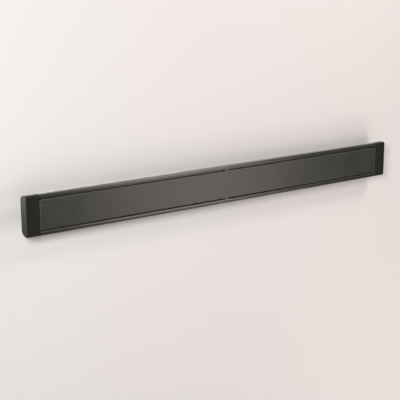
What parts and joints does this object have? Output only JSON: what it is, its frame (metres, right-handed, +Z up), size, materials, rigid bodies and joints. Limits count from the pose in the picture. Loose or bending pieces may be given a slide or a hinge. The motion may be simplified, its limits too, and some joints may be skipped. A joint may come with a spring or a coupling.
{
  "type": "infrared panel heater",
  "caption": "Long, slim wall-hung infrared heater: extruded housing, flat emitter panel between vent gaps, end caps, and brackets that tilt.",
  "frame": {"origin": "on the wall's face, level with the brackets' tilt pivots and midway between the brackets", "axes": "+X along the heater to its wiring end, +Y into the wall, +Z up; the emitter panel faces -Y"},
  "size_m": [1.75, 0.086, 0.15],
  "materials": {
    "body_coat": "dark satin powder coat",
    "panel_coat": "dark grey satin high-temperature coating",
    "cap_coat": "matt black powder coat on die casting",
    "cast_plate": "as-cast, lightly rough",
    "bright_aluminium": "bright rolled sheet",
    "element_sheath": "annealed stainless tube",
    "zinc_steel": "zinc plated",
    "black_steel": "black zinc",
    "bracket_coat": "black powder coat",
    "ceramic_fibre": "loose felt",
    "steatite": "fired ceramic",
    "cutout_body": "moulded phenolic",
    "gland_nylon": "moulded nylon",
    "gasket_rubber": "matt",
    "white_lead": "silicone sleeve",
    "blue_lead": "silicone sleeve",
    "brown_lead": "silicone sleeve",
    "green_lead": "silicone sleeve"
  },
  "bodies": {
    "wall_brackets": {"wall_plate_left": "bracket_coat", "wall_plate_right": "bracket_coat", "pivot_bolt_left": "zinc_steel", "pivot_bolt_right": "zinc_steel", "pivot_nut_left": "zinc_steel", "pivot_nut_right": "zinc_steel"},
    "tilt_clevises": {"tilt_clevis_left": "bracket_coat", "tilt_clevis_right": "bracket_coat", "clevis_bolt_left": "zinc_steel", "clevis_bolt_right": "zinc_steel", "slide_nut_left": "zinc_steel", "slide_nut_right": "zinc_steel"},
    "heater": {"housing_profile": "body_coat", "emitter_panel": "panel_coat", "centre_clip_upper": "body_coat", "centre_clip_lower": "body_coat", "end_cap_left": "cap_coat", "end_cap_right": "cap_coat", "end_plate_left": "cast_plate", "end_plate_right": "cast_plate", "cap_gasket_left": "gasket_rubber", "cap_gasket_right": "gasket_rubber", "reflector": "bright_aluminium", "insulation": "ceramic_fibre", "heating_element_upper": "element_sheath", "heating_element_lower": "element_sheath", "element_clamp_left": "zinc_steel", "element_clamp_middle": "zinc_steel", "element_clamp_right": "zinc_steel", "terminal_block": "steatite", "terminal_block_screw": "zinc_steel", "thermal_cutout": "cutout_body", "earth_screw": "zinc_steel", "lead_link": "white_lead", "lead_neutral": "blue_lead", "lead_switched": "white_lead", "lead_live": "brown_lead", "lead_earth": "green_lead", "gland_body": "gland_nylon", "gland_nut": "gland_nylon", "gland_locknut": "gland_nylon", "gland_seal": "gasket_rubber", "element_seal_upper_inner": "steatite", "element_seal_upper_outer": "steatite", "clamp_screw_left_upper": "zinc_steel", "clamp_screw_middle_upper": "zinc_steel", "clamp_screw_right_upper": "zinc_steel", "end_plate_screw_left_upper": "zinc_steel", "cap_screw_left_upper": "black_steel", "end_plate_screw_right_upper": "zinc_steel", "cap_screw_right_upper": "black_steel", "element_seal_lower_inner": "steatite", "element_seal_lower_outer": "steatite", "clamp_screw_left_lower": "zinc_steel", "clamp_screw_middle_lower": "zinc_steel", "clamp_screw_right_lower": "zinc_steel", "end_plate_screw_left_lower": "zinc_steel", "cap_screw_left_lower": "black_steel", "end_plate_screw_right_lower": "zinc_steel", "cap_screw_right_lower": "black_steel"}
  },
  "joints": [
    {"name": "tilt", "type": "hinge", "parent": "wall_brackets", "child": "tilt_clevises", "pos_m": [0, -0.02, 0], "axis": [1, 0, 0], "range_deg": [-30, 30]},
    {"name": "sideways_slide", "type": "slide", "parent": "tilt_clevises", "child": "heater", "axis": [1, 0, 0], "range_m": [-0.15, 0.15]}
  ]
}
